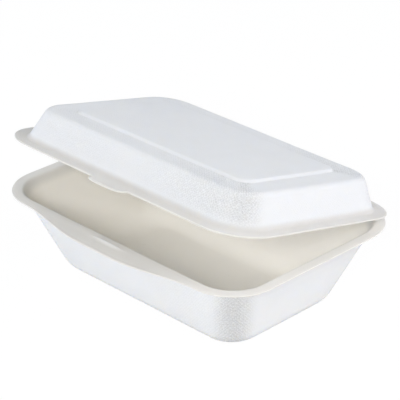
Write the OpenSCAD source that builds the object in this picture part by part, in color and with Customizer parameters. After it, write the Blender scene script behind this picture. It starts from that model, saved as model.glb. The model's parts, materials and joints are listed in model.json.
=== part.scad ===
// Moulded-pulp meal box with one compartment, pressed as a single sheet of
// sugar-cane fibre and folded along a thinned crease at the back.
// Tray and lid are thin shells of even thickness with drafted walls, soft
// fillets and flat rims; the lid stands part open.
// Origin: middle of the underside of the base. X runs along the hinge,
// the front with the lock tab faces -Y, and Z is up.

/* [Overall] */
// Length along the hinge, over the rims
box_l = 184; // [150:1:260]
// Width from the front rim to the back rim
box_w = 130.5; // [110:0.5:180]
// Corner radius of both rims, seen from above
rim_r = 26.5; // [18:0.5:36]
// Thickness of the pressed pulp
wall = 0.8; // [0.5:0.1:1.6]

/* [Tray] */
// Height of the tray, from the table to the top of its rim
tray_h = 48; // [30:1:80]
// Width of the flat tray rim, from its edge to the inner wall
tray_rim = 6.4; // [4:0.1:12]
// Slope of the tray walls, in degrees from upright
tray_draft = 22; // [5:0.5:28]
// Corner radius of the tray walls where they meet the base
tray_base_r = 16.5; // [12:0.5:24]
// Outer fillet between the tray walls and the base
tray_fillet = 14; // [4:0.5:18]
// How far the front rim swells out in the middle to carry the slit
bulge_reach = 8.2; // [0:0.1:14]
// Length of the level middle of the swelling
bulge_flat = 26; // [14:1:60]

/* [Lid] */
// Angle at which the lid stands open
lid_open = 13.6; // [0:0.1:166]
// Height of the lid's shoulder above the underside of its rim
lid_h = 18; // [10:0.5:40]
// Width of the flat lid rim, from its edge to the foot of the dome
lid_rim = 7.2; // [5:0.1:14]
// Slope of the lid walls, in degrees from upright
lid_draft = 19; // [5:0.5:30]
// Corner radius of the lid walls where they meet the shoulder
lid_top_r = 18; // [12:0.5:26]
// Outer fillet between the lid walls and the shoulder
lid_fillet = 4; // [2:0.5:8]
// Width of the flat shoulder round the raised panel
shoulder = 14.5; // [8:0.5:24]
// Height of the raised panel above the shoulder
panel_rise = 1.4; // [0.5:0.1:5]
// Corner radius of the raised panel
panel_r = 8; // [4:0.5:16]

/* [Hinge and lock] */
// How far the fold stands behind the rims
hinge_reach = 6; // [2:0.5:10]
// Length of the fold along the back
hinge_l = 124; // [60:1:150]
// Pulp left at the crease of the fold
crease_t = 0.4; // [0.3:0.05:0.8]
// Gap between the rims when the lid is closed
rim_gap = 0.6; // [0.2:0.1:1.5]
// Running gap across the crease
crease_gap = 0.3; // [0.1:0.05:0.6]
// Width of the lock tab on the front of the lid
tab_w = 26; // [16:1:50]
// How far the lock tab stands out of the lid rim
tab_reach = 6; // [3:0.5:8]
// Length of the slit that takes the tab
slit_l = 22; // [12:1:46]
// Width of the slit
slit_w = 0.5; // [0.4:0.1:2]
// Distance of the slit from the straight front edge of the rim
slit_in = 1.6; // [1:0.1:5]

/* [Hidden] */

pulp = [0.93, 0.93, 0.92];
arc_n = 10;          // steps round each corner
run_n = 12;          // steps along a front or back edge that is not straight
tight_bend = 3;      // steps round a small fillet
wide_bend = 7;       // steps round a large fillet
rim_bend = 2;        // radius where a rim turns into a wall
bevel_bend = 1;      // radius of the edges of the raised panel
bevel_slope = 48;    // slope of the panel's edge, in degrees from upright
least_r = 1;         // smallest corner radius that a ring may reach
tab_n = 24;          // steps round the tab
tab_power = 3;       // how square the tab's outline is
tab_root = 2;        // how far the tab runs back into the lid rim
hinge_end = 5;       // length of the rounded ends of the fold

hinge_y = box_w / 2 + hinge_reach;
hinge_z = tray_h + rim_gap / 2;
straight_l = box_l - 2 * rim_r;   // straight part of the front and back edges

// smooth step from 0 at u = 0 to 1 at u = 1
function ease(u) = let (c = min(max(u, 0), 1)) c * c * (3 - 2 * c);
// unit vector
function unit(v) = v / norm(v);
// a size given at right angles to a sloping wall, measured level instead
function across(t, slope) = t / cos(slope);

// Points of an arc of radius r that rounds the corner at b between a and c
function bend(a, b, c, r, steps) =
    let (u = unit(a - b),
         v = unit(c - b),
         half = acos(u * v) / 2,
         middle = b + unit(u + v) * r / sin(half),
         first = b + u * r / tan(half) - middle,
         turn = (u[0] * v[1] - u[1] * v[0] > 0 ? -1 : 1) * (180 - 2 * half))
    [for (i = [0 : steps])
        let (t = turn * i / steps)
        middle + [first[0] * cos(t) - first[1] * sin(t),
                  first[0] * sin(t) + first[1] * cos(t)]];

// One quarter of a ring, round the corner on side sx, sy
function corner(hx, hy, r, z, sx, sy, start) =
    [for (i = [0 : arc_n])
        let (t = start + 90 * i / arc_n)
        [sx * (hx - r) + r * cos(t), sy * (hy - r) + r * sin(t), z]];

// A closed ring: the rim's outline drawn in by d, with corner radius r.
// front and back are lists of [x, push] along the two long edges; the push
// is applied only where swell is 1. crease lifts the pushed back edge.
function ring(d, z, r, front, back, swell = 0, crease = 0) =
    let (hx = box_l / 2 - d,
         hy = box_w / 2 - d,
         k = (hx - r) / (straight_l / 2))
    concat(
        corner(hx, hy, r, z, 1, 1, 0),
        [for (p = back) [p[0] * k, hy + swell * p[1], z + crease * p[1] / hinge_reach]],
        corner(hx, hy, r, z, -1, 1, 90),
        corner(hx, hy, r, z, -1, -1, 180),
        [for (p = front) [p[0] * k, -hy - swell * p[1], z]],
        corner(hx, hy, r, z, 1, -1, 270));

// Closed skin through a list of rings, with a flat cap on the first and last
module skin(rings) {
    n = len(rings[0]);
    m = len(rings);
    sides = [for (k = [0 : m - 2], i = [0 : n - 1], half = [0, 1])
        let (j = (i + 1) % n,
             a = k * n + i,
             b = k * n + j,
             c = (k + 1) * n + j,
             d = (k + 1) * n + i)
        half == 0 ? [a, d, c] : [a, c, b]];
    first_cap = [for (i = [0 : n - 1]) i];
    last_cap = [for (i = [n - 1 : -1 : 0]) (m - 1) * n + i];
    polyhedron(points = [for (r = rings) each r], faces = concat([first_cap], sides, [last_cap]));
}

// Back edge of both rims: level along the fold, easing back at its ends
function fold_push(x) = (hinge_reach - crease_gap / 2) * ease((hinge_l / 2 - abs(x)) / hinge_end);
fold_run = concat(
    [for (i = [0 : run_n / 2 - 1]) hinge_l / 2 - hinge_end * i / (run_n / 2 - 1)],
    [for (i = [run_n / 2 - 1 : -1 : 0]) -hinge_l / 2 + hinge_end * i / (run_n / 2 - 1)]);
fold_edge = [for (x = fold_run) [x, fold_push(x)]];

// Front edge of the tray rim: a wide swelling from corner to corner
function bulge(x) = bulge_reach * ease((straight_l / 2 - abs(x)) / ((straight_l - bulge_flat) / 2));
bulge_edge = [for (i = [1 : run_n - 1])
    let (x = straight_l * (i / run_n - 0.5))
    [x, bulge(x)]];

// Outline of the lock tab, a tongue with round corners, rooted in the lid rim
tab_front = [for (i = [0 : tab_n])
    let (t = 180 - 180 * i / tab_n,
         side = cos(t) < 0 ? -1 : 1)
    [side * tab_w / 2 * pow(abs(cos(t)), 2 / tab_power),
     -box_w / 2 - tab_reach * pow(max(sin(t), 0), 2 / tab_power)]];
tab_outline = concat(tab_front,
    [[tab_w / 2, tab_root - box_w / 2],
     [-tab_w / 2, tab_root - box_w / 2]]);

// Tray wall: its outer line reaches the rim's top level at tray_rim - skirt
tray_skirt = across(wall, tray_draft);
tray_run = tray_h * tan(tray_draft);
// Corner radius of a tray ring at inset d and height z
function tray_corner(d, z) =
    let (up = z / tray_h,
         line_d = tray_rim + tray_run * (1 - up),
         line_r = tray_base_r + (rim_r - tray_rim - tray_base_r) * up)
    max(least_r, line_r + line_d - d);
// Section of the tray's outside, from the base to the edge of the rim
tray_outside =
    let (foot = [tray_rim - tray_skirt + tray_run, 0],
         under = [tray_rim - tray_skirt + wall * tan(tray_draft), tray_h - wall])
    concat(
        bend([box_w / 2, 0], foot, under, tray_fillet, wide_bend),
        bend(foot, under, [0, under[1]], rim_bend - wall, tight_bend),
        [[0, tray_h - wall]]);
// Section of the tray's inside, from the edge of the rim to the floor
tray_inside =
    let (mouth = [tray_rim, tray_h],
         floor_edge = [tray_rim + tray_run - wall * tan(tray_draft), wall])
    concat(
        [[0, tray_h]],
        bend([0, tray_h], mouth, floor_edge, rim_bend, tight_bend),
        bend(mouth, floor_edge, [box_w / 2, wall], tray_fillet - wall, wide_bend));

module tray() {
    rings = [for (p = concat(tray_outside, tray_inside))
        let (edge = p[0] == 0 ? 1 : 0,
             thin = (p[0] == 0 && p[1] < tray_h) ? wall - crease_t : 0)
        ring(p[0], p[1], tray_corner(p[0], p[1]), bulge_edge, fold_edge, edge, thin)];
    color(pulp)
    difference() {
        skin(rings);
        translate([-slit_l / 2, slit_in - box_w / 2 - slit_w / 2, tray_h - 2 * wall])
            cube([slit_l, slit_w, 3 * wall]);
    }
}

// Lid wall: its outer line leaves the top of the rim at lid_rim
lid_skirt = across(wall, lid_draft);
lid_run = lid_h * tan(lid_draft);
panel_run = panel_rise * tan(bevel_slope);
// Inset of the outer foot of the panel's sloping edge
panel_in = lid_rim + lid_run + shoulder;
// Corner radius of a lid ring at inset d and height z, up to the shoulder
function lid_corner(d, z) =
    let (up = min(z / lid_h, 1),
         line_d = lid_rim + lid_run * up,
         line_r = rim_r - lid_rim + (lid_top_r - rim_r + lid_rim) * up,
         wall_r = line_r + line_d - d)
    max(least_r, d < panel_in - bevel_bend ? wall_r : panel_r + panel_in - d);
// Section of the lid's outside, from the edge of the rim to the panel
lid_outside =
    let (foot = [lid_rim + wall * tan(lid_draft), wall],
         top = [lid_rim + lid_run, lid_h],
         low = [panel_in, lid_h],
         high = [panel_in + panel_run, lid_h + panel_rise])
    concat(
        [[0, wall]],
        bend([0, wall], foot, top, rim_bend, tight_bend),
        bend(foot, top, low, lid_fillet, wide_bend),
        bend(top, low, high, bevel_bend, tight_bend),
        bend(low, high, [box_w / 2, high[1]], bevel_bend, tight_bend));
// Section of the lid's inside, from the panel to the edge of the rim
lid_inside =
    let (slant = wall * tan((90 - bevel_slope) / 2),
         foot = [lid_rim + lid_skirt, 0],
         top = [lid_rim + lid_skirt + (lid_h - wall) * tan(lid_draft), lid_h - wall],
         low = [panel_in + slant, lid_h - wall],
         high = [panel_in + panel_run + slant, lid_h - wall + panel_rise])
    concat(
        bend([box_w / 2, high[1]], high, low, bevel_bend, tight_bend),
        bend(high, low, top, bevel_bend, tight_bend),
        bend(low, top, foot, lid_fillet - wall, wide_bend),
        bend(top, foot, [0, 0], rim_bend + wall, tight_bend),
        [[0, 0]]);

module lid() {
    rings = [for (p = concat(lid_inside, lid_outside))
        let (edge = p[0] == 0 ? 1 : 0,
             thin = (p[0] == 0 && p[1] > 0) ? crease_t - wall : 0)
        ring(p[0], p[1], lid_corner(p[0], p[1]), [], fold_edge, edge, thin)];
    color(pulp)
    translate([0, hinge_y, hinge_z])
    rotate([-lid_open, 0, 0])
    translate([0, -hinge_y, rim_gap / 2])
    union() {
        skin(rings);
        linear_extrude(wall) polygon(tab_outline);
    }
}

tray();
lid();
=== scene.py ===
# %% [markdown]
# # A moulded-pulp meal box
# The box is one pressing of sugar-cane pulp: a deep tray and a domed lid that
# share a fold along the back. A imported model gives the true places, so this
# lesson first loads it, keeps its box of sizes, and then builds finer shells
# round the same walls.

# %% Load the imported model
import json
import math

import bpy
from mathutils import Matrix, Vector
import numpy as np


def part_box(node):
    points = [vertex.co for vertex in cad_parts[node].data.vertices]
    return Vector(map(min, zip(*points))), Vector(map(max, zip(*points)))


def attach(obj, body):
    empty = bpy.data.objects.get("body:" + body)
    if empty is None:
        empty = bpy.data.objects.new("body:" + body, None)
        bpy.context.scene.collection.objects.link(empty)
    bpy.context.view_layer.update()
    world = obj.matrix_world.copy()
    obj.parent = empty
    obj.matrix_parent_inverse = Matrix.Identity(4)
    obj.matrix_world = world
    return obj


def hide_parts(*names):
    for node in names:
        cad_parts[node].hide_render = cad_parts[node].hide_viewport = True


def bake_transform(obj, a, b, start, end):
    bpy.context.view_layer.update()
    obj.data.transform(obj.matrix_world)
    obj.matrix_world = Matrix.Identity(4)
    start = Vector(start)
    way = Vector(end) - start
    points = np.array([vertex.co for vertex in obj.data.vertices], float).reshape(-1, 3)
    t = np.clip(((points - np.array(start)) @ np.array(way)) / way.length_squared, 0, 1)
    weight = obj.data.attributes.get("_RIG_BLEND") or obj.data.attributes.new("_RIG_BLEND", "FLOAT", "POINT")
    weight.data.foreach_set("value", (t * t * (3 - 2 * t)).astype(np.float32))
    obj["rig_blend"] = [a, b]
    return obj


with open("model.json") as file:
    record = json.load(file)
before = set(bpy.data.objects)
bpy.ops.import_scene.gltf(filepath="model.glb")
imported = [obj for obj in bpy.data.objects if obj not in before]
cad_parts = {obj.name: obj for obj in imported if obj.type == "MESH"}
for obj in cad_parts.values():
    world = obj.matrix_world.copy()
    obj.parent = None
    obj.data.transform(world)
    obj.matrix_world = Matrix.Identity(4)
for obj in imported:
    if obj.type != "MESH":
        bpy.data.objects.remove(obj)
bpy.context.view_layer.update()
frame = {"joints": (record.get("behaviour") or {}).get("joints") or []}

MM = 0.001

# %% [markdown]
# The fold is the one moving place. Its line and the angle at which the lid
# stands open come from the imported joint, and the overall sizes come from the
# tray's own box, so nothing here can drift away from the model.

# %% Read the sizes from the frame
hinge = frame["joints"][0]
HINGE = Vector(hinge["pos_m"])
OPEN = math.radians(-hinge["range_deg"][0])
tray_low, tray_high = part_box("tray")
LENGTH = tray_high.x - tray_low.x
TRAY_H = tray_high.z
RIM_GAP = 2 * (HINGE.z - TRAY_H)
CREASE_GAP = 2 * (HINGE.y - tray_high.y)
HINGE_REACH = 6 * MM
WIDTH = 2 * (HINGE.y - HINGE_REACH)
print("length, width, tray height, mm:", [round(v / MM, 2) for v in (LENGTH, WIDTH, TRAY_H)])
print("lid stands open, degrees:", round(math.degrees(OPEN), 2))

# %% [markdown]
# These are the sizes that a mould maker would draw: thickness of the pulp,
# widths of the rims, slopes of the walls and radii of the bends. Slopes are
# measured from upright.

# %% Sizes of the pressing
WALL = 0.8 * MM
RIM_R = 26.5 * MM
TRAY_RIM = 6.4 * MM
TRAY_DRAFT = math.radians(22)
TRAY_BASE_R = 16.5 * MM
TRAY_FILLET = 14 * MM
LID_H = 18 * MM
LID_RIM = 7.2 * MM
LID_DRAFT = math.radians(19)
LID_TOP_R = 18 * MM
LID_FILLET = 4 * MM
SHOULDER = 14.5 * MM
PANEL_RISE = 1.4 * MM
PANEL_R = 8 * MM
BEVEL_SLOPE = math.radians(48)
BEVEL_BEND = 1.0 * MM
RIM_BEND = 2 * MM
EDGE_R = 0.35 * MM
LEAST_R = 1 * MM
STRAIGHT = LENGTH - 2 * RIM_R
FOLD_L = 124 * MM
FOLD_END = 5 * MM
CREASE_T = 0.4 * MM
BULGE_REACH = 8.2 * MM
BULGE_FLAT = 26 * MM
SLIT_L = 22 * MM
SLIT_W = 0.06 * MM
SLIT_IN = 1.6 * MM
SLIT_LIP = 0.5 * MM
SLIT_FALL = 3 * MM
FRONT_LIP_SHARE = 0.75
EDGE_DROOP = 0.2 * MM
DROOP_WIDTH = 2.2 * MM
TAB_W = 26 * MM
TAB_REACH = 6 * MM
TAB_POWER = 3
print("straight part of the front edge, mm:", round(STRAIGHT / MM, 1))

# %% [markdown]
# The camera stands where the photographer's did: a little under half way
# round to the right, looking down at about 27 degrees through a long lens.
# The lens is given as the width in pixels of the photograph's frame divided
# by the spread of the view, which is easy to fit to a picture.

# %% Camera
PHOTO_PIXELS = 400
FOCAL_PIXELS = 1861.5
CAMERA_AZIMUTH = math.radians(45.15)
CAMERA_ELEVATION = math.radians(26.71)
CAMERA_DISTANCE = 1000.6 * MM
CAMERA_TARGET = Vector((-0.4 * MM, 3.8 * MM, TRAY_H + 0.75 * MM))


def add_camera():
    data = bpy.data.cameras.new("camera")
    data.sensor_width = 36
    data.lens = data.sensor_width * FOCAL_PIXELS / PHOTO_PIXELS
    data.clip_start = 0.05
    data.clip_end = 50
    back = Vector((
        math.sin(CAMERA_AZIMUTH) * math.cos(CAMERA_ELEVATION),
        -math.cos(CAMERA_AZIMUTH) * math.cos(CAMERA_ELEVATION),
        math.sin(CAMERA_ELEVATION),
    ))
    camera = bpy.data.objects.new("camera", data)
    camera.location = CAMERA_TARGET + back * CAMERA_DISTANCE
    camera.rotation_euler = (-back).to_track_quat("-Z", "Y").to_euler()
    bpy.context.scene.collection.objects.link(camera)
    bpy.context.scene.camera = camera
    return camera


camera = add_camera()
print("lens, mm:", round(camera.data.lens, 1))

# %% [markdown]
# A shell of even thickness is easiest to draw as a section: a line of points
# that runs up the outside, round the rim's edge and down the inside. Each
# point says how far it is drawn in from the rim (inset) and how high it is.
# Corners of the section are rounded by one function that puts an arc between
# two straight pieces, so every bend is a true tangent curve.

# %% Section helpers


def ease(u):
    """Smooth step from 0 at u = 0 to 1 at u = 1."""
    u = min(max(u, 0.0), 1.0)
    return u * u * (3 - 2 * u)


def bend(a, b, c, radius, steps):
    """Points of an arc that rounds the corner at b between a and c."""
    a, b, c = Vector(a), Vector(b), Vector(c)
    u, v = (a - b).normalized(), (c - b).normalized()
    half = math.acos(max(-1.0, min(1.0, u.dot(v)))) / 2
    middle = b + (u + v).normalized() * radius / math.sin(half)
    first = b + u * radius / math.tan(half) - middle
    turn = (math.pi - 2 * half) * (-1 if u.x * v.y - u.y * v.x > 0 else 1)
    return [tuple(middle + Matrix.Rotation(turn * i / steps, 2) @ first) for i in range(steps + 1)]


def stretch(a, b, steps):
    """Points between a and b, without the ends."""
    return [tuple(Vector(a).lerp(Vector(b), i / steps)) for i in range(1, steps)]


print("a bend of 4 steps has", len(bend((0, 1), (0, 0), (1, 0), 0.5, 4)), "points")

# %% [markdown]
# The tray's section. The outside starts near the middle of the base, turns up
# through a large fillet, climbs the sloping wall and turns out under the rim.
# The rim's edge is cut, so it gets a small round of its own. The inside runs
# back the same way, one wall thickness in.

# %% Section of the tray
MIDDLE_INSET = WIDTH / 2 - 1.5 * MM
BASE_STEPS = 6
WALL_STEPS = 10
tray_run = TRAY_H * math.tan(TRAY_DRAFT)
tray_skirt = WALL / math.cos(TRAY_DRAFT)


def tray_sections():
    foot = (TRAY_RIM - tray_skirt + tray_run, 0)
    under = (TRAY_RIM - tray_skirt + WALL * math.tan(TRAY_DRAFT), TRAY_H - WALL)
    mouth = (TRAY_RIM, TRAY_H)
    floor = (TRAY_RIM + tray_run - WALL * math.tan(TRAY_DRAFT), WALL)
    low = bend((MIDDLE_INSET, 0), foot, under, TRAY_FILLET, 14)
    high = bend(foot, under, (0, under[1]), RIM_BEND - WALL, 5)
    outside = [(MIDDLE_INSET, 0)] + stretch((MIDDLE_INSET, 0), low[0], BASE_STEPS)
    outside += low + stretch(low[-1], high[0], WALL_STEPS) + high
    lip = bend((0, TRAY_H), mouth, floor, RIM_BEND, 6)
    turn = bend(mouth, floor, (MIDDLE_INSET, WALL), TRAY_FILLET - WALL, 14)
    inside = lip + stretch(lip[-1], turn[0], WALL_STEPS) + turn
    inside += stretch(turn[-1], (MIDDLE_INSET, WALL), BASE_STEPS) + [(MIDDLE_INSET, WALL)]
    return outside, inside


tray_outside, tray_inside = tray_sections()
print("tray section:", len(tray_outside), "points outside,", len(tray_inside), "inside")

# %% [markdown]
# The lid's section goes the other way up: its hollow side comes first, from
# the middle of the raised panel out to the rim, and then the outside climbs
# back over the foot, the wall, the shoulder and the panel's sloping edge.

# %% Section of the lid
lid_run = LID_H * math.tan(LID_DRAFT)
lid_skirt = WALL / math.cos(LID_DRAFT)
panel_run = PANEL_RISE * math.tan(BEVEL_SLOPE)
PANEL_IN = LID_RIM + lid_run + SHOULDER


def lid_sections():
    foot = (LID_RIM + WALL * math.tan(LID_DRAFT), WALL)
    top = (LID_RIM + lid_run, LID_H)
    low = (PANEL_IN, LID_H)
    high = (PANEL_IN + panel_run, LID_H + PANEL_RISE)
    middle = (MIDDLE_INSET, high[1])
    rise = bend((0, WALL), foot, top, RIM_BEND, 6)
    crown = bend(foot, top, low, LID_FILLET, 10)
    step = bend(top, low, high, BEVEL_BEND, 4)
    edge = bend(low, high, middle, BEVEL_BEND, 4)
    outside = rise + stretch(rise[-1], crown[0], 5) + crown
    outside += stretch(crown[-1], step[0], 6) + step + stretch(step[-1], edge[0], 2) + edge
    outside += stretch(edge[-1], middle, BASE_STEPS) + [middle]
    slant = WALL * math.tan((math.pi / 2 - BEVEL_SLOPE) / 2)
    foot_in = (LID_RIM + lid_skirt, 0)
    top_in = (LID_RIM + lid_skirt + (LID_H - WALL) * math.tan(LID_DRAFT), LID_H - WALL)
    low_in = (PANEL_IN + slant, LID_H - WALL)
    high_in = (PANEL_IN + panel_run + slant, LID_H - WALL + PANEL_RISE)
    middle_in = (MIDDLE_INSET, high_in[1])
    edge_in = bend(middle_in, high_in, low_in, BEVEL_BEND, 4)
    step_in = bend(high_in, low_in, top_in, BEVEL_BEND, 4)
    crown_in = bend(low_in, top_in, foot_in, LID_FILLET - WALL, 10)
    rise_in = bend(top_in, foot_in, (0, 0), RIM_BEND + WALL, 6)
    inside = [middle_in] + stretch(middle_in, edge_in[0], BASE_STEPS) + edge_in
    inside += stretch(edge_in[-1], step_in[0], 2) + step_in + stretch(step_in[-1], crown_in[0], 6)
    inside += crown_in + stretch(crown_in[-1], rise_in[0], 5) + rise_in
    return outside, inside


lid_outside, lid_inside = lid_sections()
print("lid section:", len(lid_outside), "points outside,", len(lid_inside), "inside")

# %% [markdown]
# Seen from above, each level of a shell is a rectangle with round corners.
# The corner radius is not the same at every level: it shrinks slowly down a
# wall and quickly across a fillet, which is what gives such boxes their soft
# conical corners. The rules below give it for any point of a section.

# %% Corner radius at each level


def tray_corner(inset, height):
    up = height / TRAY_H
    line_inset = TRAY_RIM + tray_run * (1 - up)
    line_r = TRAY_BASE_R + (RIM_R - TRAY_RIM - TRAY_BASE_R) * up
    return max(LEAST_R, line_r + line_inset - inset)


def lid_corner(inset, height):
    if inset >= PANEL_IN - BEVEL_BEND:
        return max(LEAST_R, PANEL_R + PANEL_IN - inset)
    up = min(height / LID_H, 1)
    line_inset = LID_RIM + lid_run * up
    line_r = RIM_R - LID_RIM + (LID_TOP_R - RIM_R + LID_RIM) * up
    return max(LEAST_R, line_r + line_inset - inset)


print("tray corner radius at rim and base, mm:",
      [round(tray_corner(TRAY_RIM, TRAY_H) / MM, 1), round(tray_corner(35 * MM, 0) / MM, 1)])

# %% [markdown]
# Along the long edges the rims do more than run straight. The tray's front
# rim swells out to carry the slit, the lid's front rim carries the lock tab,
# and both back rims run out into the fold. Each edge is a list of steps:
# how far along it lies and how far it is pushed out.

# %% Long edges of the rims
STEPS_ALONG = 44
half_run = STRAIGHT / 2


def bulge_edge():
    xs = [STRAIGHT * (i / STEPS_ALONG - 0.5) for i in range(1, STEPS_ALONG)]
    xs = [x for x in xs if abs(abs(x) - SLIT_L / 2) > 1 * MM] + [-SLIT_L / 2, SLIT_L / 2]
    flat = (STRAIGHT - BULGE_FLAT) / 2
    return [(x / half_run, BULGE_REACH * ease((half_run - abs(x)) / flat)) for x in sorted(xs)]


def tab_edge():
    beside = [-half_run + (half_run - TAB_W / 2) * i / 14 for i in range(1, 14)]
    edge = [(x / half_run, 0) for x in beside]
    for i in range(37):
        t = math.pi * (1 - i / 36)
        x = math.copysign(abs(math.cos(t)) ** (2 / TAB_POWER), math.cos(t)) * TAB_W / 2
        edge.append((x / half_run, TAB_REACH * max(math.sin(t), 0) ** (2 / TAB_POWER)))
    return edge + [(-x / half_run, 0) for x in reversed(beside)]


def fold_edge():
    steps = [FOLD_L / 2 - FOLD_END * i / 8 for i in range(9)]
    steps += [FOLD_L / 2 - FOLD_END - (FOLD_L / 2 - FOLD_END) * i / 10 for i in range(1, 11)]
    xs = steps + [-x for x in reversed(steps[:-1])]
    reach = HINGE_REACH - CREASE_GAP / 2
    return [(x / half_run, reach * ease((FOLD_L / 2 - abs(x)) / FOLD_END)) for x in xs]


print("steps on the bulge, tab and fold edges:", len(bulge_edge()), len(tab_edge()), len(fold_edge()))

# %% [markdown]
# One outline serves all levels. Every step round the box remembers which
# corner it hangs from (place), which way the corner's arc points there (turn)
# and how far the rim is pushed out (push). A later cell turns these into
# positions with a single formula.

# %% Outline round the box
CORNER_STEPS = 22


def outline(front, back):
    """Steps round the box, anticlockwise from the right: (place, turn, push)."""
    steps = []
    for sx, sy, start in ((1, 1, 0), (-1, 1, 90), (-1, -1, 180), (1, -1, 270)):
        for i in range(CORNER_STEPS + 1):
            t = math.radians(start + 90 * i / CORNER_STEPS)
            steps.append(((sx, sy, 0), (math.cos(t), math.sin(t), 0), (0, 0, 0)))
        if start == 0:
            steps += [((x, 1, 0), (0, 1, 0), (0, push, 0)) for x, push in back]
        if start == 180:
            steps += [((x, -1, 0), (0, -1, 0), (0, -push, 0)) for x, push in front]
    return steps


tray_round = outline(bulge_edge(), fold_edge())
lid_round = outline(tab_edge(), fold_edge())
print("steps round the tray and the lid:", len(tray_round), len(lid_round))

# %% [markdown]
# The levels of a rim need more care than the walls, because its outline is
# pushed out. The cut edge keeps its full push, then a few levels give it up
# again, and the slit lies between two levels that are not pushed at all. A
# level close to each lip keeps the shading of the rim from bleeding into the
# slit. Each level is (inset, height, share of the push, side), and side says
# what the surface is: 0 the outer face, 1 the inner face, 2 the cut edge.

# %% Levels of each shell
OUTER, INNER, CUT = 0, 1, 2
GIVE_UP = ((0.55, 0.82), (0.75, 0.55), (0.95, 0.27))
SLIT_FRONT = SLIT_IN - SLIT_W / 2
SLIT_BACK = SLIT_IN + SLIT_W / 2
SLIT_CLOSE = 0.06 * MM
SLIT_SLOPE = 0.5 * MM
RIM_INSETS = (SLIT_FRONT - SLIT_SLOPE, SLIT_FRONT - SLIT_CLOSE, SLIT_FRONT,
              SLIT_BACK, SLIT_BACK + SLIT_CLOSE, 2.6 * MM, 3.4 * MM)


def cut_edge(bottom):
    """The round cut edge of a rim, from its underside to its top."""
    top = bottom + WALL
    lower = bend((1 * MM, bottom), (0, bottom), (0, top), EDGE_R, 4)
    upper = bend((0, bottom), (0, top), (1 * MM, top), EDGE_R, 4)
    return [(d, z, 1.0, CUT) for d, z in lower + upper]


def rim_levels(height, side, outwards):
    """Flat levels of a rim between its wall and its cut edge."""
    levels = [(d * MM, height, share, side) for d, share in GIVE_UP]
    levels += [(d, height, 0.0, side) for d in RIM_INSETS]
    return list(reversed(levels)) if outwards else levels


def levels_of(first, bottom, second, first_side, second_side):
    levels = [(d, z, 0.0, first_side) for d, z in first]
    levels += rim_levels(bottom, first_side, True) + cut_edge(bottom)
    levels += rim_levels(bottom + WALL, second_side, False)
    return levels + [(d, z, 0.0, second_side) for d, z in second]


tray_levels = levels_of(tray_outside, TRAY_H - WALL, tray_inside, OUTER, INNER)
lid_levels = levels_of(lid_inside, 0, lid_outside, INNER, OUTER)
print("levels of the tray and the lid:", len(tray_levels), len(lid_levels))

# %% [markdown]
# Now the mesh that carries all this. It is only a net of quads: every vertex
# holds its level and its step as attributes, and has no real place yet. The
# slit is left open in the net, with small walls between its two faces. The
# lift attribute raises the lips of the slit a little, the back one more, as
# punching does, lets the rim's edge droop, and thins the fold at the crease.
# The stretch attribute marks where the wet felt is drawn thin over the mould,
# on the upright corners and beside them, more towards the right end, where the
# wire shows most; the finishes also darken the colour there as painted shade.

# %% Net of a shell


def slit_gap(levels, a, b):
    """True where the net between levels a and b is the slit's strip."""
    pair = sorted((levels[a][0], levels[b][0]))
    return abs(pair[0] - SLIT_FRONT) < 1e-7 and abs(pair[1] - SLIT_BACK) < 1e-7


def in_slit(step):
    place = step[0]
    return place[1] < 0 and step[1][0] == 0 and abs(place[0]) * half_run < SLIT_L / 2 + 1e-7


def net_faces(levels, steps, with_slit):
    n = len(steps)
    faces, sides = [tuple(reversed(range(n)))], [levels[0][3]]
    slit_rows = []
    for k in range(len(levels) - 1):
        side = CUT if CUT in (levels[k][3], levels[k + 1][3]) else levels[k][3]
        cut = with_slit and slit_gap(levels, k, k + 1)
        if cut:
            slit_rows.append(k)
        for i in range(n):
            j = (i + 1) % n
            if cut and in_slit(steps[i]) and in_slit(steps[j]):
                continue
            faces.append((k * n + i, k * n + j, (k + 1) * n + j, (k + 1) * n + i))
            sides.append(side)
    last = (len(levels) - 1) * n
    faces.append(tuple(last + i for i in range(n)))
    sides.append(levels[-1][3])
    walls = slit_walls(slit_rows, steps, n) if with_slit else []
    return faces + walls, sides + [OUTER] * len(walls)


def slit_walls(rows, steps, n):
    """Quads that close the slit between the rim's underside and its top."""
    under, over = rows
    inside = [i for i in range(n) if in_slit(steps[i])]
    walls = []
    for i, j in zip(inside, inside[1:]):
        walls.append((under * n + i, under * n + j, (over + 1) * n + j, (over + 1) * n + i))
        walls.append(((under + 1) * n + j, (under + 1) * n + i, over * n + i, over * n + j))
    first, last = inside[0], inside[-1]
    walls.append(((under + 1) * n + first, under * n + first, (over + 1) * n + first, over * n + first))
    walls.append((under * n + last, (under + 1) * n + last, over * n + last, (over + 1) * n + last))
    return walls


def lift_at(level, step, bottom, thin_top):
    """Small rise of one vertex: slit lips, drooping edge and thinned fold."""
    inset, height, share, _ = level
    place, _, push = step
    rise = 0.0
    if bottom is not None and in_slit(step) and inset > SLIT_FRONT - 1.1 * SLIT_CLOSE:
        along = 1 - (place[0] * half_run / (SLIT_L / 2)) ** 4
        lip = SLIT_LIP * (1 if inset > SLIT_BACK - 1e-7 else FRONT_LIP_SHARE)
        rise += lip * along * min(1, max(0, 1 - (inset - SLIT_BACK) / SLIT_FALL))
    droop = EDGE_DROOP * max(0, 1 - inset / DROOP_WIDTH) ** 2
    rise -= droop * (1 - max(push[1], 0) / (HINGE_REACH - CREASE_GAP / 2))
    if push[1] > 0 and share > 0:
        thin = (WALL - CREASE_T) * share * push[1] / HINGE_REACH
        middle = (TRAY_H - WALL / 2) if bottom is not None else WALL / 2
        if thin_top and height > middle:
            rise -= thin
        if not thin_top and height < middle:
            rise += thin
    return rise


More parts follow.
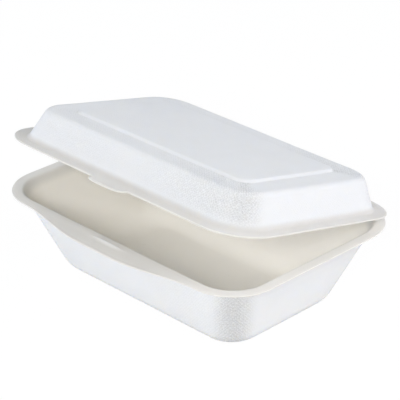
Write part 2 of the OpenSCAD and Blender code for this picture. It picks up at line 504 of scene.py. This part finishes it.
def stretch_and_shade_at(level, step, depth, on_corner, beside_corner):
    """Up to 1 on the upright corners, where the felt of pulp is drawn thin; the finish paints shade there
    too.
    """
    place, turn, _ = step
    on_wall = ease((depth - 1 * MM) / (6 * MM)) * (level[0] < PANEL_IN)
    # Stronger towards the right end, for both the imprint and the painted corner shade.
    to_right = 0.25 + 0.75 * ease((place[0] + 1) / 2)
    beside = beside_corner * ease((abs(place[0]) + 0.3) / 1.3) * abs(turn[1])
    return on_wall * to_right * max(beside, on_corner * (2 * turn[0] * turn[1]) ** 2)


# Shares on and beside the corners, for the imprint and for the painted corner shade.
TRAY_STRETCH_AND_SHADE = (1.0, 0.2)
LID_STRETCH_AND_SHADE = (0.8, 0.5)
NET_VALUES = ("inset", "height", "corner", "share", "lift", "depth", "stretch", "place", "turn", "push")


def make_net(name, levels, steps, corner, is_tray):
    faces, sides = net_faces(levels, steps, is_tray)
    total = len(levels) * len(steps)
    mesh = bpy.data.meshes.new(name)
    mesh.from_pydata([(0, 0, 0)] * total, [], faces)
    values = {key: [] for key in NET_VALUES}
    stretch_and_shade_shares = TRAY_STRETCH_AND_SHADE if is_tray else LID_STRETCH_AND_SHADE
    for level in levels:
        inset, height, share, _ = level
        for step in steps:
            place, turn, push = step
            values["inset"].append(inset)
            values["height"].append(height)
            values["corner"].append(corner(inset, height))
            values["share"].append(share)
            depth = TRAY_H - height if is_tray else height
            values["depth"].append(depth)
            values["stretch"].append(stretch_and_shade_at(level, step, depth, *stretch_and_shade_shares))
            values["lift"].append(lift_at(level, step, TRAY_H if is_tray else None, not is_tray))
            values["place"] += place
            values["turn"] += turn
            values["push"] += push
    for key, data in values.items():
        vector = key in ("place", "turn", "push")
        attribute = mesh.attributes.new(key, "FLOAT_VECTOR" if vector else "FLOAT", "POINT")
        attribute.data.foreach_set("vector" if vector else "value", data)
    side = mesh.attributes.new("side", "INT", "FACE")
    side.data.foreach_set("value", sides)
    mesh.shade_smooth()
    net = bpy.data.objects.new(name, mesh)
    bpy.context.scene.collection.objects.link(net)
    print(name, "net:", total, "vertices,", len(faces), "faces")
    return net


tray_net = make_net("tray_shell", tray_levels, tray_round, tray_corner, True)
lid_net = make_net("lid_shell", lid_levels, lid_round, lid_corner, False)

# %% [markdown]
# Pulp is seen in its colour as much as in its shape. Two effects are shared by
# all its finishes, so each is a node group. The first is the imprint of the
# wire mesh on which the fibres settle: a woven cloth whose knuckles make a
# lattice of tiny dimples. It follows the mould's own coordinates, and three
# flat patterns are mixed by the way the wall faces, as a cloth that is pressed
# over a form would lie. Wander bends its rows slowly, and Jumble breaks them
# up, because the fibres never settle evenly on the wires.

# %% Helpers for node trees


class Tree:
    """Short way to add and join nodes."""

    def __init__(self, tree):
        self.tree = tree

    def add(self, kind, inputs=(), **settings):
        node = self.tree.nodes.new(kind)
        for key, value in settings.items():
            setattr(node, key, value)
        for key, value in dict(inputs).items():
            self.feed(node.inputs[key], value)
        return node

    def feed(self, socket, value):
        if isinstance(value, bpy.types.NodeSocket):
            self.tree.links.new(value, socket)
        else:
            socket.default_value = value

    def math(self, operation, a, b=0.0):
        kind = "ShaderNodeMath"
        return self.add(kind, {0: a, 1: b}, operation=operation).outputs[0]

    def vector(self, operation, a, b=(0, 0, 0)):
        node = self.add("ShaderNodeVectorMath", {0: a, 1: b}, operation=operation)
        return node.outputs[0]

    def scaled(self, vector, factor):
        node = self.add("ShaderNodeVectorMath", {0: vector, "Scale": factor}, operation="SCALE")
        return node.outputs[0]

    def xyz(self, vector):
        return self.add("ShaderNodeSeparateXYZ", {0: vector}).outputs

    def join(self, x=0.0, y=0.0, z=0.0):
        return self.add("ShaderNodeCombineXYZ", {0: x, 1: y, 2: z}).outputs[0]


def socket(tree, name, kind, in_out, value=None):
    item = tree.interface.new_socket(name, in_out=in_out, socket_type=kind)
    if value is not None:
        item.default_value = value
    return item


def shader_group(name, numbers, outputs):
    group = bpy.data.node_groups.new(name, "ShaderNodeTree")
    for key, value in numbers.items():
        socket(group, key, "NodeSocketFloat", "INPUT", value)
    for key in outputs:
        socket(group, key, "NodeSocketFloat", "OUTPUT")
    tree = Tree(group)
    return group, tree, tree.add("NodeGroupInput"), tree.add("NodeGroupOutput")


print("helpers ready")

# %% Wire imprint group
WIRE_PITCH = 1.7 * MM


def wire_imprint():
    group, t, given, out = shader_group(
        "wire_imprint", {"Pitch": WIRE_PITCH, "Wander": 0.25 * MM, "Jumble": 2.4 * MM}, ["Height"])
    mould = t.add("ShaderNodeAttribute", attribute_name="mould").outputs["Vector"]
    facing = t.add("ShaderNodeAttribute", attribute_name="facing").outputs["Vector"]
    drift = t.add("ShaderNodeTexNoise", {"Vector": mould, "Scale": 60.0, "Detail": 1.0}).outputs["Color"]
    drift = t.scaled(t.vector("SUBTRACT", drift, (0.5, 0.5, 0.5)), given.outputs["Wander"])
    shift = t.add("ShaderNodeTexNoise", {"Vector": mould, "Scale": 800.0, "Detail": 1.0}).outputs["Color"]
    shift = t.scaled(t.vector("SUBTRACT", shift, (0.5, 0.5, 0.5)), given.outputs["Jumble"])
    drift = t.vector("ADD", drift, shift)
    turns = t.math("DIVIDE", 2 * math.pi, given.outputs["Pitch"])
    x, y, z = t.xyz(t.scaled(t.vector("ADD", mould, drift), turns))
    waves = [t.math("COSINE", value) for value in (x, y, z)]
    weights = [t.math("POWER", t.math("ABSOLUTE", value), 4.0) for value in t.xyz(facing)]
    total = t.math("ADD", t.math("ADD", weights[0], weights[1]), t.math("ADD", weights[2], 0.0001))
    mix = None
    for axis in range(3):
        others = [waves[i] for i in range(3) if i != axis]
        part = t.math("MULTIPLY", t.math("MULTIPLY", *others), weights[axis])
        mix = part if mix is None else t.math("ADD", mix, part)
    height = t.math("ADD", t.math("MULTIPLY", t.math("DIVIDE", mix, total), 0.5), 0.5)
    t.feed(out.inputs["Height"], height)
    return group


WIRE = wire_imprint()
print("wire imprint, knuckles every", round(WIRE_PITCH / MM, 2), "mm")

# %% [markdown]
# The second effect is the pulp itself: a soft cloudiness where the fibres
# settled more or less densely, a fine felt-like grain, and a few slender
# fibres that show a shade darker. Its outputs are plain masks and a height,
# and each finish decides what to do with them.

# %% Pulp fibre group


def pulp_fibre():
    group, t, given, out = shader_group(
        "pulp_fibre", {"Grain": 1100.0, "Clouds": 45.0, "Fibres": 260.0}, ["Cloud", "Grain", "Fibre"])
    mould = t.add("ShaderNodeAttribute", attribute_name="mould").outputs["Vector"]
    cloud = t.add("ShaderNodeTexNoise",
                  {"Vector": mould, "Scale": given.outputs["Clouds"], "Detail": 4.0, "Roughness": 0.6})
    grain = t.add("ShaderNodeTexNoise",
                  {"Vector": mould, "Scale": given.outputs["Grain"], "Detail": 5.0, "Roughness": 0.65})
    swirl = t.add("ShaderNodeTexNoise", {"Vector": mould, "Scale": 90.0, "Detail": 2.0}).outputs["Color"]
    swirl = t.scaled(t.vector("SUBTRACT", swirl, (0.5, 0.5, 0.5)), 0.03)
    slender = t.vector("MULTIPLY", t.vector("ADD", mould, swirl), (1.0, 0.22, 0.5))
    cell = t.add("ShaderNodeTexVoronoi", {"Vector": slender, "Scale": given.outputs["Fibres"]})
    near = t.add("ShaderNodeMapRange",
                 {"Value": cell.outputs["Distance"], "From Min": 0.03, "From Max": 0.13,
                  "To Min": 1.0, "To Max": 0.0})
    few = t.math("GREATER_THAN", t.xyz(cell.outputs["Color"])[0], 0.72)
    t.feed(out.inputs["Cloud"], cloud.outputs["Fac"])
    t.feed(out.inputs["Grain"], grain.outputs["Fac"])
    t.feed(out.inputs["Fibre"], t.math("MULTIPLY", near.outputs[0], few))
    return group


FIBRE = pulp_fibre()
print("pulp fibre outputs:",
      [item.name for item in FIBRE.interface.items_tree if item.in_out == "OUTPUT"])

# %% [markdown]
# Each shell has three finishes that use the groups. The outer face lay on the
# wire mesh: it is the coolest white and carries the imprint; on the upright
# corners its colour is darkened as painted shade, and the wire's dimples and
# knuckles are painted darker and lighter there. The inner face is smoother and
# creamier, and its colour is also lifted as painted light against the shade
# inside the shells. The cut edge shows torn fibre ends and has only grain, and
# its colour is darkened as painted shade. A row of LOOKS gives a finish: its
# colour, its colour at the rim (darker on the tray's inner face and on the lid,
# as painted shade), the colour of its fibres, the depths of imprint and grain,
# the roughness, how much light goes through the thin pulp, and how far the
# rim's colour reaches. All are matt, with a trace of sheen from the fibre ends.

# %% Pulp finishes
# Painted shade and highlight: the first colour darkens the stretched corners, the next two paint the wire's
# dimples darker and its knuckles lighter there.
PAINTED_CORNER_SHADE = (0.96, 0.96, 0.96, 1)
WIRE_DIMPLE_SHADE = (0.66, 0.66, 0.66, 1)
WIRE_KNUCKLE_HIGHLIGHT = (1.13, 1.13, 1.13, 1)
THROUGH_RADIUS = (1.0, 0.9, 0.75)
FIBRE_COLOUR = (0.76, 0.72, 0.64)
TRAY_THROUGH = 1.2 * MM
LID_THROUGH = 5.0 * MM


def blend_colours(t, factor, first, second):
    node = t.add("ShaderNodeMix", data_type="RGBA")
    for key, value in (("Factor", factor), ("A", first), ("B", second)):
        t.feed(node.inputs[{"Factor": 0, "A": 6, "B": 7}[key]], value)
    return node.outputs[2]


def multiply_colours(t, first, second):
    node = t.add("ShaderNodeMix", {0: 1.0, 6: first, 7: second}, data_type="RGBA", blend_type="MULTIPLY")
    return node.outputs[2]


def pulp_finish(name, look, through_depth):
    """A pulp material; look is one row of LOOKS."""
    colour, painted_shade_rim_colour, fibre_colour, imprint, grain, roughness, through, rim_depth = look
    material = bpy.data.materials.new(name)
    material.use_nodes = True
    t = Tree(material.node_tree)
    skin = material.node_tree.nodes["Principled BSDF"]
    skin.inputs["Roughness"].default_value = roughness
    skin.inputs["Specular IOR Level"].default_value = 0.25
    skin.inputs["Subsurface Weight"].default_value = through
    skin.inputs["Subsurface Radius"].default_value = THROUGH_RADIUS
    skin.inputs["Subsurface Scale"].default_value = through_depth
    fibre = t.add("ShaderNodeGroup", node_tree=FIBRE).outputs
    # The rim's colour, where it is darker than the face's, is painted shade on the rim.
    depth = t.add("ShaderNodeAttribute", attribute_name="depth").outputs["Fac"]
    inside = t.add("ShaderNodeMapRange",
                   {"Value": depth, "From Min": 0.25 * rim_depth, "From Max": rim_depth},
                   interpolation_type="SMOOTHSTEP").outputs[0]
    body = blend_colours(t, inside, (*painted_shade_rim_colour, 1), (*colour, 1))
    cloudy = blend_colours(t, fibre["Cloud"], (0.955, 0.953, 0.95, 1), (1, 1, 1, 1))
    body = multiply_colours(t, body, cloudy)
    height = t.math("MULTIPLY", fibre["Grain"], grain)
    height = t.math("ADD", height, t.math("MULTIPLY", fibre["Fibre"], 0.25 * grain))
    if imprint > 0:
        # Painted shade on the stretched corners, with the wire's dimples painted darker and its knuckles
        # lighter.
        stretch = t.add("ShaderNodeAttribute", attribute_name="stretch").outputs["Fac"]
        body = multiply_colours(t, body, blend_colours(t, stretch, (1, 1, 1, 1), PAINTED_CORNER_SHADE))
        wire = t.add("ShaderNodeGroup", node_tree=WIRE).outputs["Height"]
        painted_wire_shading = blend_colours(t, wire, WIRE_DIMPLE_SHADE, WIRE_KNUCKLE_HIGHLIGHT)
        body = multiply_colours(t, body, blend_colours(t, stretch, (1, 1, 1, 1), painted_wire_shading))
        deep = t.math("MULTIPLY", t.math("ADD", 0.15, stretch), imprint)
        height = t.math("ADD", height, t.math("MULTIPLY", wire, deep))
    specks = blend_colours(t, t.math("MULTIPLY", fibre["Fibre"], 0.3), body, (*fibre_colour, 1))
    t.feed(skin.inputs["Base Color"], specks)
    bump = t.add("ShaderNodeBump", {"Height": height, "Strength": 1.0, "Distance": MM})
    t.feed(skin.inputs["Normal"], bump.outputs["Normal"])
    return material


# Where a rim colour is darker than its face colour (tray_inner and the lid), it is painted shade on the rims
# and the lid's tab.
LOOKS = {
    "tray_outer": ((0.832, 0.852, 0.875), (0.832, 0.852, 0.875), FIBRE_COLOUR, 0.3, 0.05, 0.82, 0.9, 7 * MM),
    # tray_inner: colour partly the inner face's cream tone, partly lifted as painted light against the shade
    # inside the tray.
    "tray_inner": ((0.99, 0.97, 0.92), (0.82, 0.815, 0.795), FIBRE_COLOUR, 0.0, 0.04, 0.74, 0.2, 7 * MM),
    # tray_cut: colour darkened as painted shade, so the lit cut edge shows no bright line.
    "tray_cut": ((0.78, 0.77, 0.75), (0.78, 0.77, 0.75), FIBRE_COLOUR, 0.0, 0.08, 0.9, 0.0, 7 * MM),
    "lid_outer": ((0.838, 0.862, 0.89), (0.655, 0.64, 0.62), FIBRE_COLOUR, 0.3, 0.05, 0.82, 0.9, 4 * MM),
    # lid_inner: colour partly the inner face's cream tone, partly lifted as painted light against the shade
    # under the lid.
    "lid_inner": ((0.975, 0.955, 0.89), (0.80, 0.785, 0.755), FIBRE_COLOUR, 0.0, 0.04, 0.74, 0.4, 7 * MM),
    # lid_cut: colour darkened as painted shade on the cut edge.
    "lid_cut": ((0.74, 0.73, 0.70), (0.74, 0.73, 0.70), FIBRE_COLOUR, 0.0, 0.08, 0.9, 0.1, 7 * MM),
}
SIDES = ("outer", "inner", "cut")
TRAY_PULP = {key: pulp_finish("tray_" + key, LOOKS["tray_" + key], TRAY_THROUGH) for key in SIDES}
LID_PULP = {key: pulp_finish("lid_" + key, LOOKS["lid_" + key], LID_THROUGH) for key in SIDES}
print("finishes:", [m.name for m in (*TRAY_PULP.values(), *LID_PULP.values())])

# %% [markdown]
# The shell's shape follows one rule, so Geometry Nodes make it. For every
# vertex the tree takes the half sizes of the box, draws them in by inset and
# corner radius, adds the corner's arc and the rim's push, and lifts the result
# to its height. Two more inputs make the pressing real: an arch that lifts the
# middle of the short sides, and a slow wander, the same on both faces of the
# wall, because thin pulp dries a little out of true.

# %% Shell tree


def attribute(t, name, kind="FLOAT"):
    return t.add("GeometryNodeInputNamedAttribute", {"Name": name}, data_type=kind).outputs["Attribute"]


def shell_place(t, given):
    """The formula that places a vertex of the net."""
    half = t.join(t.math("MULTIPLY", given["Length"], 0.5), t.math("MULTIPLY", given["Width"], 0.5))
    corner = attribute(t, "corner")
    drawn = t.math("ADD", attribute(t, "inset"), corner)
    core = t.vector("SUBTRACT", half, t.join(drawn, drawn))
    core = t.vector("MULTIPLY", core, attribute(t, "place", "FLOAT_VECTOR"))
    arc = t.scaled(attribute(t, "turn", "FLOAT_VECTOR"), corner)
    push = t.scaled(attribute(t, "push", "FLOAT_VECTOR"), attribute(t, "share"))
    height = t.join(0.0, 0.0, t.math("ADD", attribute(t, "height"), attribute(t, "lift")))
    return t.vector("ADD", t.vector("ADD", core, arc), t.vector("ADD", push, height))


def shell_warp(t, given, place):
    """Arch of the short sides and slow wander of the thin wall."""
    x, y, _ = t.xyz(place)
    across = t.math("DIVIDE", x, t.math("MULTIPLY", given["Length"], 0.5))
    beside = t.math("DIVIDE", y, t.math("MULTIPLY", given["Width"], 0.5))
    middle = t.math("MAXIMUM", t.math("SUBTRACT", 1.0, t.math("MULTIPLY", beside, beside)), 0.0)
    right = t.math("POWER", t.math("MAXIMUM", across, 0.0), 2.0)
    left = t.math("POWER", t.math("MAXIMUM", t.math("MULTIPLY", across, -1.0), 0.0), 2.0)
    arch = t.math("ADD", t.math("MULTIPLY", right, given["Right arch"]),
                  t.math("MULTIPLY", left, given["Left arch"]))
    arch = t.math("MULTIPLY", arch, middle)
    noise = t.add("ShaderNodeTexNoise",
                  {"Vector": place, "W": given["Seed"], "Scale": given["Wander per metre"], "Detail": 1.0},
                  noise_dimensions="4D").outputs["Color"]
    wander = t.scaled(t.vector("SUBTRACT", noise, (0.5, 0.5, 0.5)), given["Wander"])
    return t.vector("ADD", t.join(0.0, 0.0, arch), wander)


def shell_tree():
    group = bpy.data.node_groups.new("pressed_shell", "GeometryNodeTree")
    socket(group, "Geometry", "NodeSocketGeometry", "INPUT")
    for name, value in (("Length", LENGTH), ("Width", WIDTH), ("Right arch", 0.0), ("Left arch", 0.0),
                        ("Wander", 0.0), ("Wander per metre", 14.0), ("Seed", 1.0)):
        socket(group, name, "NodeSocketFloat", "INPUT", value)
    for name in SIDES:
        socket(group, name, "NodeSocketMaterial", "INPUT")
    socket(group, "Geometry", "NodeSocketGeometry", "OUTPUT")
    t = Tree(group)
    given = t.add("NodeGroupInput").outputs
    place = shell_place(t, given)
    warped = t.vector("ADD", place, shell_warp(t, given, place))
    shape = t.add("GeometryNodeSetPosition", {"Geometry": given["Geometry"], "Position": warped})
    shape = t.add("GeometryNodeStoreNamedAttribute",
                  {"Geometry": shape.outputs[0], "Name": "mould", "Value": warped},
                  data_type="FLOAT_VECTOR", domain="POINT")
    normal = t.add("GeometryNodeInputNormal").outputs[0]
    shape = t.add("GeometryNodeStoreNamedAttribute",
                  {"Geometry": shape.outputs[0], "Name": "facing", "Value": normal},
                  data_type="FLOAT_VECTOR", domain="POINT")
    shape = t.add("GeometryNodeRealizeInstances", {0: shape.outputs[0]})
    shape = t.add("GeometryNodeSetMaterial", {"Geometry": shape.outputs[0], "Material": given["outer"]})
    side = attribute(t, "side", "INT")
    for index, name in ((INNER, "inner"), (CUT, "cut")):
        is_side = t.add("FunctionNodeCompare", data_type="INT", operation="EQUAL")
        t.feed(is_side.inputs[2], side)
        t.feed(is_side.inputs[3], index)
        shape = t.add("GeometryNodeSetMaterial",
                      {"Geometry": shape.outputs[0], "Selection": is_side.outputs[0],
                       "Material": given[name]})
    out = t.add("NodeGroupOutput")
    t.feed(out.inputs["Geometry"], shape.outputs[0])
    return group


SHELL = shell_tree()
print("shell tree:", len(SHELL.nodes), "nodes")

# %% [markdown]
# A modifier with the tree goes on each net. Its inputs are set by the socket's
# identifier before the object is first evaluated. The evaluated result is
# then copied out as a plain mesh, and the modifier and the helper attributes
# are removed, so only the finished shell is left.

# %% Press the shells


def pressed(net, group, values, keep=("mould", "facing", "depth", "stretch")):
    """Runs a node tree on an object and leaves its result as a plain mesh."""
    modifier = net.modifiers.new("pressing", "NODES")
    modifier.node_group = group
    names = {item.name: item.identifier for item in group.interface.items_tree if item.in_out == "INPUT"}
    for name, value in values.items():
        modifier[names[name]] = value
    graph = bpy.context.evaluated_depsgraph_get()
    mesh = bpy.data.meshes.new_from_object(
        net.evaluated_get(graph), preserve_all_data_layers=True, depsgraph=graph)
    net.modifiers.clear()
    net.data = mesh
    mesh.name = net.name
    for name in [a.name for a in mesh.attributes]:
        own = mesh.attributes[name]
        if own.is_internal or own.is_required or name in keep or name in ("sharp_face", "material_index"):
            continue
        mesh.attributes.remove(own)
    return net


tray_shell = pressed(tray_net, SHELL, {"Wander": 0.5 * MM, "Seed": 3.0, **TRAY_PULP})
lid_shell = pressed(lid_net, SHELL, {"Right arch": 1.6 * MM, "Left arch": -0.4 * MM,
                                     "Wander": 0.5 * MM, "Seed": 8.0, **LID_PULP})
print("tray and lid faces:", len(tray_shell.data.polygons), len(lid_shell.data.polygons))
print("materials:", [m.name for m in tray_shell.data.materials])

# %% [markdown]
# The lid was pressed level. It is now closed over the tray with the running
# gap between the rims, and then swung open round the fold, all in its mesh,
# so that the object itself stays at the origin and unturned.

# %% Swing the lid open
closed = Matrix.Translation((0, 0, TRAY_H + RIM_GAP))
swing = Matrix.Translation(HINGE) @ Matrix.Rotation(-OPEN, 4, "X") @ Matrix.Translation(-HINGE)
lid_shell.data.transform(swing @ closed)
lid_shell.data.update()
print("highest point of the lid, mm:", round(max(v.co.z for v in lid_shell.data.vertices) / MM, 1))

# %% [markdown]
# Between the two halves of the fold runs the crease, a strip of pulp that is
# thin enough to bend. In section it is a small hook round the hinge line, and
# it keeps that section from end to end, so it is a curve swept along a line.
# The node tree bends the points of a circle into the hook, and Curve to Mesh
# draws it along the fold.

# %% Crease tree
HOOK_POINTS = 32


def crease_tree():
    group = bpy.data.node_groups.new("crease_strip", "GeometryNodeTree")
    for name, value in (("Length", FOLD_L), ("Outer radius", 0.7 * MM), ("Inner radius", 0.3 * MM),
                        ("Start angle", -math.pi / 2), ("End angle", math.pi / 2)):
        socket(group, name, "NodeSocketFloat", "INPUT", value)
    socket(group, "Finish", "NodeSocketMaterial", "INPUT")
    socket(group, "Geometry", "NodeSocketGeometry", "OUTPUT")
    t = Tree(group)
    given = t.add("NodeGroupInput").outputs
    half = t.math("MULTIPLY", given["Length"], 0.5)
    line = t.add("GeometryNodeCurvePrimitiveLine",
                 {"Start": t.join(t.math("MULTIPLY", half, -1.0)), "End": t.join(half)})
    line = t.add("GeometryNodeResampleCurve", {"Curve": line.outputs[0], "Count": 63})
    circle = t.add("GeometryNodeCurvePrimitiveCircle", {"Resolution": HOOK_POINTS})
    index = t.add("GeometryNodeInputIndex").outputs[0]
    side = HOOK_POINTS // 2
    back = t.math("GREATER_THAN", index, side - 0.5)
    forth = t.math("DIVIDE", index, side - 1.0)
    home = t.math("DIVIDE", t.math("SUBTRACT", HOOK_POINTS - 1.0, index), side - 1.0)
    share = t.add("ShaderNodeMix", {"Factor": back, 2: forth, 3: home}).outputs[0]
    angle = t.add("ShaderNodeMix",
                  {"Factor": share, 2: given["Start angle"], 3: given["End angle"]}).outputs[0]
    radius = t.add("ShaderNodeMix",
                   {"Factor": back, 2: given["Outer radius"], 3: given["Inner radius"]}).outputs[0]
    place = t.scaled(t.join(t.math("COSINE", angle), t.math("SINE", angle)), radius)
    hook = t.add("GeometryNodeSetPosition", {"Geometry": circle.outputs[0], "Position": place})
    strip = t.add("GeometryNodeCurveToMesh",
                  {"Curve": line.outputs[0], "Profile Curve": hook.outputs[0], "Fill Caps": True})
    place = t.add("GeometryNodeInputPosition").outputs[0]
    strip = t.add("GeometryNodeStoreNamedAttribute",
                  {"Geometry": strip.outputs[0], "Name": "mould", "Value": place},
                  data_type="FLOAT_VECTOR", domain="POINT")
    normal = t.add("GeometryNodeInputNormal").outputs[0]
    strip = t.add("GeometryNodeStoreNamedAttribute",
                  {"Geometry": strip.outputs[0], "Name": "facing", "Value": normal},
                  data_type="FLOAT_VECTOR", domain="POINT")
    strip = t.add("GeometryNodeRealizeInstances", {0: strip.outputs[0]})
    strip = t.add("GeometryNodeSetMaterial", {"Geometry": strip.outputs[0], "Material": given["Finish"]})
    out = t.add("NodeGroupOutput")
    t.feed(out.inputs["Geometry"], strip.outputs[0])
    return group


CREASE = crease_tree()
print("crease tree:", len(CREASE.nodes), "nodes")

# %% Lay the crease
OVERLAP = math.radians(25)
crease_reach = RIM_GAP / 2 + CREASE_T
crease_net = bpy.data.objects.new("crease", bpy.data.meshes.new("crease"))
bpy.context.scene.collection.objects.link(crease_net)
crease = pressed(crease_net, CREASE, {
    "Length": FOLD_L - 2 * FOLD_END,
    "Outer radius": crease_reach,
    "Inner radius": RIM_GAP / 2,
    "Start angle": -math.pi / 2 - OVERLAP,
    "End angle": math.pi / 2 + OVERLAP - OPEN,
    "Finish": TRAY_PULP["outer"],
})
low = Vector([min(v.co[i] for v in crease.data.vertices) for i in range(3)])
high = Vector([max(v.co[i] for v in crease.data.vertices) for i in range(3)])
print("crease as swept, mm:", [round(v / MM, 2) for v in (*low, *high)])

# %% [markdown]
# Each finished piece now gets its body. The shells ride on the tray and the
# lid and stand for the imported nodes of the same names. The crease belongs to
# both, so it is blended across the joint: its lower edge follows the tray,
# its upper edge the lid, and the strip between them turns with half the angle.

# %% Bodies
crease.data.transform(Matrix.Translation(HINGE))
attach(tray_shell, "tray")
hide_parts("tray")
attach(lid_shell, "lid")
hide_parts("lid")
up = Vector((0, 0, crease_reach))
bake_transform(crease, "tray", "lid", start=tuple(HINGE - up), end=tuple(HINGE + up))
print("pieces:", [piece.name for piece in (tray_shell, lid_shell, crease)])

# %% [markdown]
# The box stands on a white sweep. The floor shows the camera plain white, but
# it still catches a part of the light that really falls on it, so the box keeps
# a soft shadow and does not float.

# %% Floor
FLOOR_SIZE = 6.0
FLOOR_GAP = 0.4 * MM
FLOOR_WHITE = 0.93
FLOOR_LIT = 0.72
FLOOR_GLOW = 1.03


def add_floor():
    bpy.ops.mesh.primitive_plane_add(size=FLOOR_SIZE)
    floor = bpy.context.object
    floor.data.transform(Matrix.Translation((0, 0, -FLOOR_GAP)))
    floor.name = "floor"
    material = bpy.data.materials.new("floor_white")
    material.use_nodes = True
    nodes = material.node_tree.nodes
    t = Tree(material.node_tree)
    lit = nodes["Principled BSDF"]
    lit.inputs["Base Color"].default_value = (FLOOR_LIT, FLOOR_LIT, FLOOR_LIT, 1)
    lit.inputs["Roughness"].default_value = 0.9
    lit.inputs["Specular IOR Level"].default_value = 0.0
    glow = t.add("ShaderNodeEmission", {"Color": (1, 1, 1, 1), "Strength": FLOOR_GLOW})
    path = t.add("ShaderNodeLightPath").outputs
    seen = t.math("MAXIMUM", path["Is Camera Ray"],
                  t.math("MAXIMUM", path["Is Glossy Ray"], path["Is Transmission Ray"]))
    mix = t.add("ShaderNodeMixShader", {0: t.math("MULTIPLY", seen, FLOOR_WHITE)})
    t.feed(mix.inputs[1], lit.outputs[0])
    t.feed(mix.inputs[2], glow.outputs[0])
    t.feed(nodes["Material Output"].inputs["Surface"], mix.outputs[0])
    floor.data.materials.append(material)
    return floor


floor = add_floor()
print("floor:", FLOOR_SIZE, "m square")

# %% [markdown]
# The light is that of a plain product table. Soft lights stand to the left of
# the front and to the right, so the two walls that the camera sees are bright
# and the corner between them is a shade darker. A small one at the front draws
# the rims and fills the tray, and weaker ones round the back light the top,
# which gets less than the walls, so the raised panel stays readable. Two are a
# little warm and the others a little cool. The rest is a weak, even sky.

# %% Lights
SKY = (1.0, 1.0, 1.0)
SKY_LIGHT = 0.08
SOFTBOXES = (
    ("softbox_left", -30, 20, 0.8, 5.95, (0.93, 0.95, 1.0)),
    ("softbox_front", 36, 27, 0.25, 6.2, (1.0, 0.975, 0.94)),
    ("softbox_right", 110, 30, 0.8, 5.8, (1.0, 0.94, 0.88)),
    ("softbox_back_right", 140, 24, 0.8, 4.6, (0.82, 0.87, 1.0)),
    ("softbox_far_left", -90, 40, 0.8, 3.4, (0.9, 0.95, 1.0)),
    ("softbox_back", 180, 55, 0.8, 1.3, (0.72, 0.87, 1.0)),
)
BOX_MIDDLE = Vector((0, 0, 40 * MM))
LIGHT_DISTANCE = 1.1


def add_softbox(name, azimuth, elevation, size, power, colour):
    data = bpy.data.lights.new(name, "AREA")
    data.shape = "SQUARE"
    data.size = size
    data.energy = power
    data.color = colour
    a, e = math.radians(azimuth), math.radians(elevation)
    away = Vector((math.sin(a) * math.cos(e), -math.cos(a) * math.cos(e), math.sin(e)))
    light = bpy.data.objects.new(name, data)
    light.location = BOX_MIDDLE + away * LIGHT_DISTANCE
    light.rotation_euler = away.to_track_quat("Z", "Y").to_euler()
    bpy.context.scene.collection.objects.link(light)
    return light


def add_world():
    world = bpy.data.worlds.new("studio")
    bpy.context.scene.world = world
    world.use_nodes = True
    nodes = world.node_tree.nodes
    t = Tree(world.node_tree)
    sky = nodes["Background"]
    sky.inputs["Color"].default_value = (*SKY, 1)
    sky.inputs["Strength"].default_value = SKY_LIGHT
    white = t.add("ShaderNodeBackground", {"Color": (1, 1, 1, 1), "Strength": 1.0})
    path = t.add("ShaderNodeLightPath").outputs
    seen = t.math("MAXIMUM", path["Is Camera Ray"],
                  t.math("MAXIMUM", path["Is Glossy Ray"], path["Is Transmission Ray"]))
    mix = t.add("ShaderNodeMixShader", {0: seen})
    t.feed(mix.inputs[1], sky.outputs[0])
    t.feed(mix.inputs[2], white.outputs[0])
    t.feed(nodes["World Output"].inputs["Surface"], mix.outputs[0])


for softbox in SOFTBOXES:
    add_softbox(*softbox)
add_world()
bpy.context.scene.view_settings.view_transform = "Standard"
